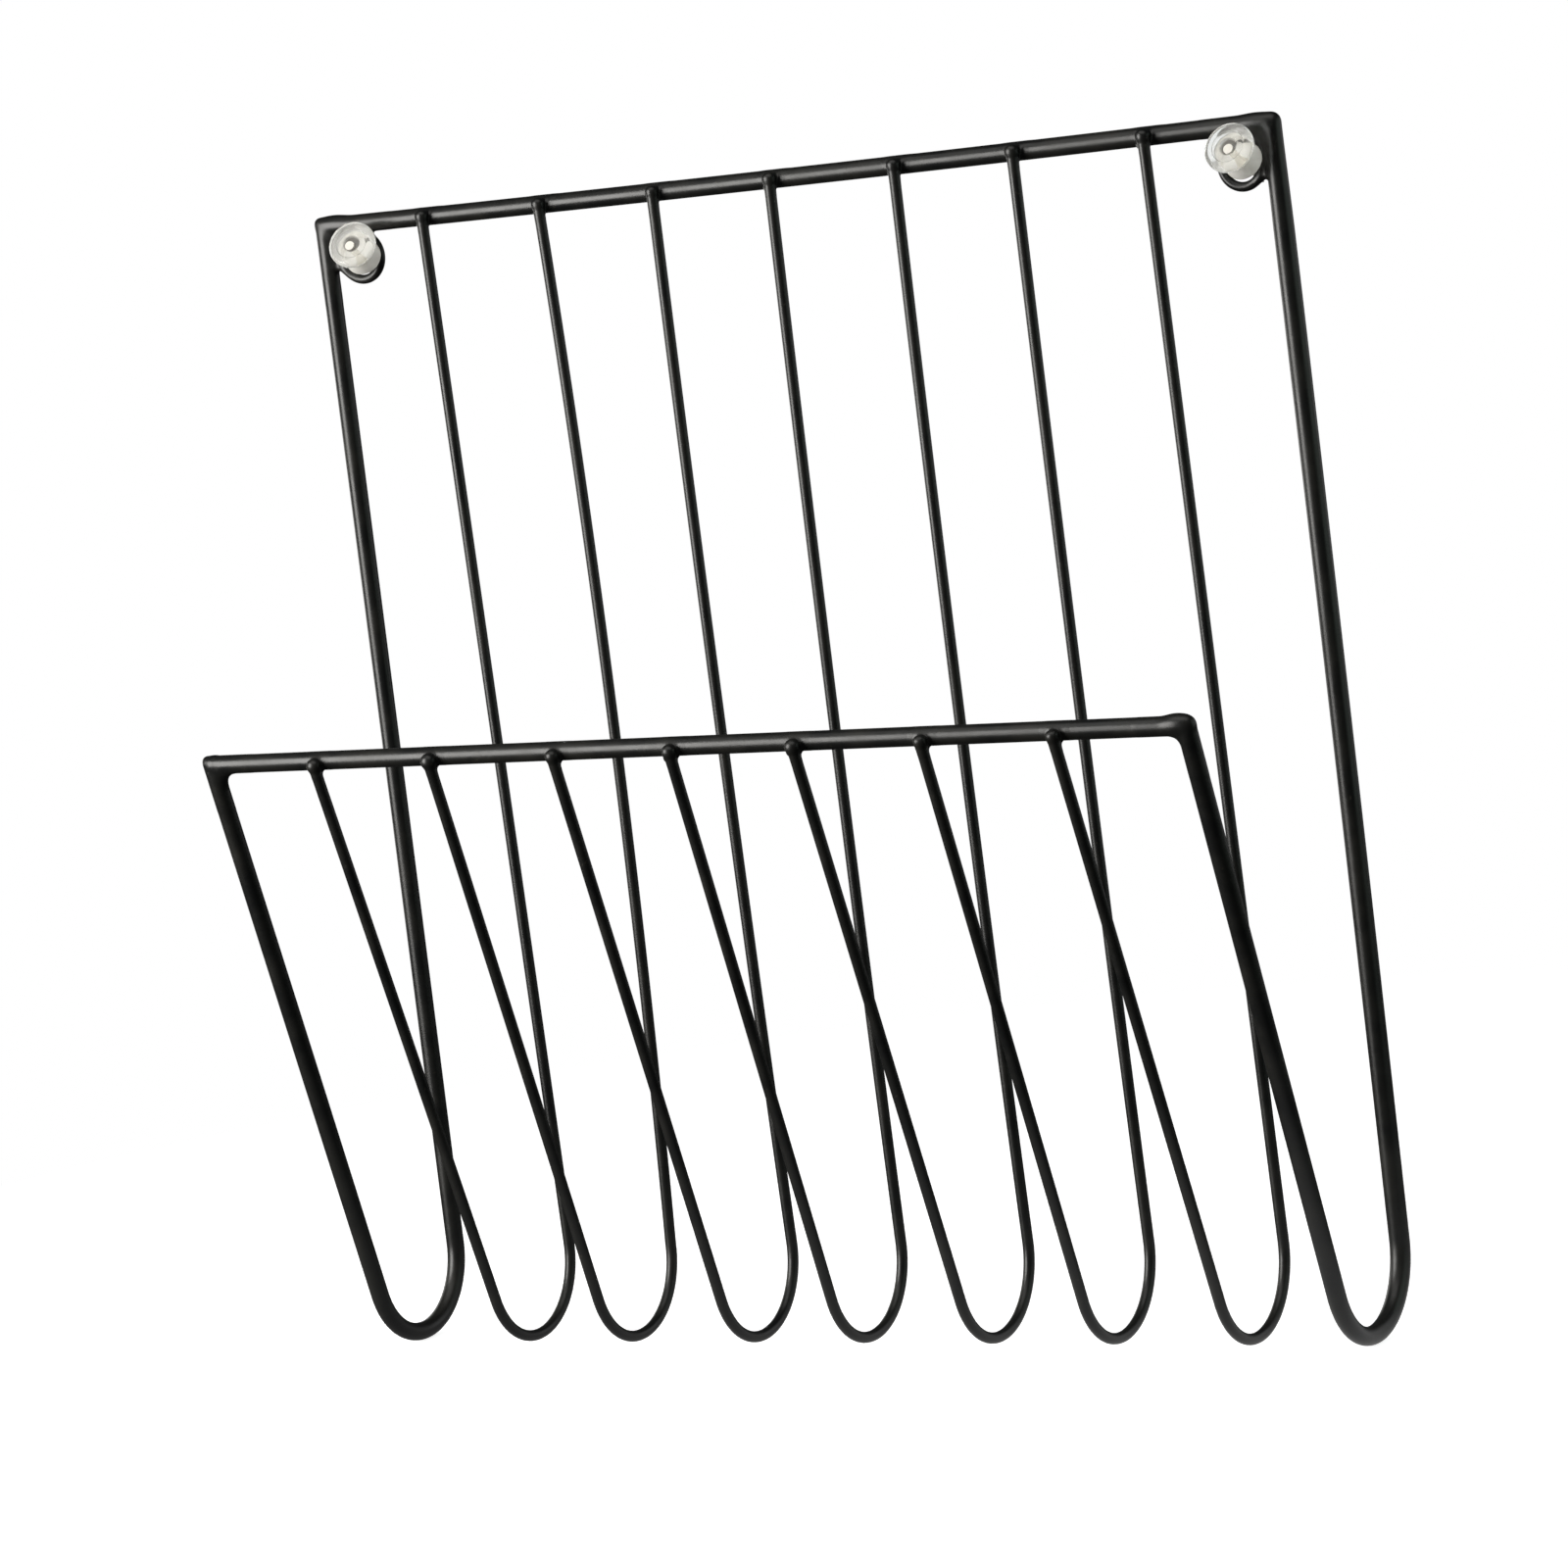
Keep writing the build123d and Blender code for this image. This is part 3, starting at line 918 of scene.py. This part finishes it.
def pale_floor():
    """A pale studio floor that runs into the white backdrop with distance. In the black
    coat's reflections it is dim, but for the bends that nearly touch it, more so on the
    right."""
    material, nodes = new_material("pale_floor")
    place = nodes.add("ShaderNodeTexCoord")
    away = nodes.add("ShaderNodeVectorMath", {0: place.outputs["Object"]}, operation="LENGTH")
    near = nodes.spread(away.outputs["Value"], 0.2, 0.55, 1.0, 0.0)
    tone = nodes.mix(nodes.noise(3.0), (0.86, 0.86, 0.86), (0.9, 0.9, 0.9))
    lit = nodes.add("ShaderNodeBsdfDiffuse", {"Color": tone})
    glow = nodes.add("ShaderNodeEmission", {"Color": WHITE, "Strength": 0.86})
    bright = nodes.add("ShaderNodeAddShader", {0: lit.outputs[0], 1: glow.outputs[0]})
    white = nodes.add("ShaderNodeEmission", {"Color": WHITE, "Strength": 1.0})
    ground = nodes.mix_shaders(near, white.outputs[0], bright.outputs[0])
    ray_length = nodes.add("ShaderNodeLightPath").outputs["Ray Length"]
    touching = nodes.spread(ray_length, 0.05, 0.16, 1.0, 0.0)
    across = nodes.add("ShaderNodeSeparateXYZ", {"Vector": place.outputs["Object"]}).outputs["X"]
    bounce = nodes.maths("MULTIPLY", touching, nodes.spread(across, -0.2, 0.2, 0.14, 0.62))
    dim = nodes.add("ShaderNodeEmission", {"Strength": nodes.maths("ADD", bounce, 0.03)})
    both = nodes.mix_shaders(seen_directly(nodes), dim.outputs[0], ground)
    nodes.add("ShaderNodeOutputMaterial", {"Surface": both})
    return material


FLOOR_REACH = 12.0
floor_mesh = bpy.data.meshes.new("floor")
floor_signs = ((-1, -1), (1, -1), (1, 1), (-1, 1))
floor_corners = [(FLOOR_REACH * x, FLOOR_REACH * y, cad_low.z) for x, y in floor_signs]
floor_mesh.from_pydata(floor_corners, [], [(0, 1, 2, 3)])
floor_mesh.materials.append(pale_floor())
floor = bpy.data.objects.new("floor", floor_mesh)
bpy.context.scene.collection.objects.link(floor)


def direction(azimuth, elevation):
    """The unit direction towards a place seen from the rack; azimuth 0 is the front."""
    around = math.radians(azimuth)
    up = math.radians(elevation)
    flat = math.cos(up)
    return Vector((math.sin(around) * flat, -math.cos(around) * flat, math.sin(up)))


target = Vector((0, (back_rail.y + front_rail.y) / 2, (cad_low.z + cad_high.z) / 2))


def softbox(name, azimuth, elevation, distance, width, height, power, tint):
    """A soft rectangular light aimed at the rack."""
    light = bpy.data.lights.new(name, "AREA")
    light.shape = "RECTANGLE"
    light.size = width
    light.size_y = height
    light.energy = power
    light.color = tint
    lamp = bpy.data.objects.new(name, light)
    away = direction(azimuth, elevation)
    lamp.location = target + away * distance
    lamp.rotation_euler = away.to_track_quat("Z", "Y").to_euler()
    lamp.visible_camera = False
    bpy.context.scene.collection.objects.link(lamp)


WARM = (1.0, 0.985, 0.955)
FAINTLY_WARM = (1.0, 0.99, 0.96)
NEUTRAL = (1.0, 1.0, 1.0)
GREENISH = (0.85, 1.0, 0.9)

# Name, azimuth, elevation, distance, width, height, power and tint.
softbox("key", -40, 11, 1.2, 0.7, 0.95, 21, WARM)
softbox("left_edge", -118, 0, 1.2, 0.9, 0.6, 3.0, FAINTLY_WARM)
softbox("overhead", 5, 66, 1.3, 1.4, 0.9, 5.2, WARM)
softbox("right_back", 142, 8, 1.2, 0.7, 0.8, 1.2, NEUTRAL)
softbox("right_fill", 100, 10, 0.8, 0.5, 0.6, 0.6, GREENISH)

world = bpy.data.worlds.new("studio")
bpy.context.scene.world = world
world.use_nodes = True
sky = Nodes(world.node_tree)
tone = sky.mix(seen_directly(sky), (0.035, 0.038, 0.04), (1.0, 1.0, 1.0))
backdrop = sky.add("ShaderNodeBackground", {"Color": tone, "Strength": 1.0})
sky.add("ShaderNodeOutputWorld", {"Surface": backdrop.outputs[0]})
bpy.context.scene.view_settings.view_transform = "Standard"

CAMERA_AZIMUTH = 31.16
CAMERA_ELEVATION = 7.45
CAMERA_ROLL = -7.20
CAMERA_DISTANCE = 1.874
CAMERA_AIM = target + Vector((4.7, 1.75, -1.7)) * MM
CAMERA_LENS = 144.0

toward = direction(CAMERA_AZIMUTH, CAMERA_ELEVATION)
level = Vector((math.cos(math.radians(CAMERA_AZIMUTH)), math.sin(math.radians(CAMERA_AZIMUTH)), 0))
upright = level.cross(-toward)
roll = math.radians(CAMERA_ROLL)
right = level * math.cos(roll) + upright * math.sin(roll)
above = upright * math.cos(roll) - level * math.sin(roll)
camera_data = bpy.data.cameras.new("camera")
camera_data.lens = CAMERA_LENS
camera_data.sensor_width = 36
camera_data.clip_end = 100
camera = bpy.data.objects.new("camera", camera_data)
camera.matrix_world = Matrix.Translation(CAMERA_AIM + toward * CAMERA_DISTANCE) @ Matrix(
    (right, above, toward)
).transposed().to_4x4()
bpy.context.scene.collection.objects.link(camera)
bpy.context.scene.camera = camera
